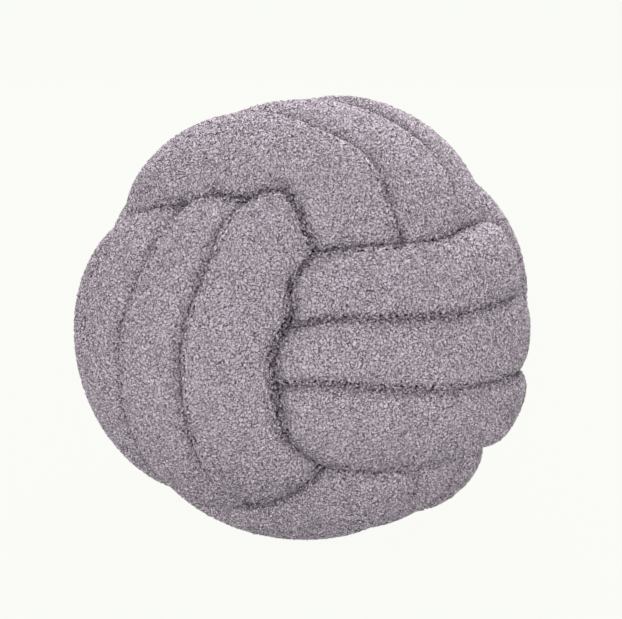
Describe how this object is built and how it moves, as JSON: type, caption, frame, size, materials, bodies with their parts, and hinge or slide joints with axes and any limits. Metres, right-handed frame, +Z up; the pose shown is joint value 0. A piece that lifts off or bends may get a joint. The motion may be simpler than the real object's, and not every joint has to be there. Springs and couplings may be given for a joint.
{
  "type": "knot cushion",
  "caption": "Round knot cushion: a stuffed tube of teddy cloth woven over and under itself into a ball, with a small flat spot to rest on.",
  "frame": {"origin": "middle of the ball's outline, on the surface it rests on, at the flat spot", "axes": "+Z up, +X and -Y out of the two side faces of the knot that the front shows, so each face's normal is about an axis"},
  "size_m": [0.3068, 0.3068, 0.2837],
  "materials": {
    "teddy_cloth": "mauve-grey teddy (boucle) cloth, a short dense curly pile with no sheen"
  },
  "bodies": {
    "root": {"knot_cushion": "teddy_cloth"}
  },
  "joints": []
}
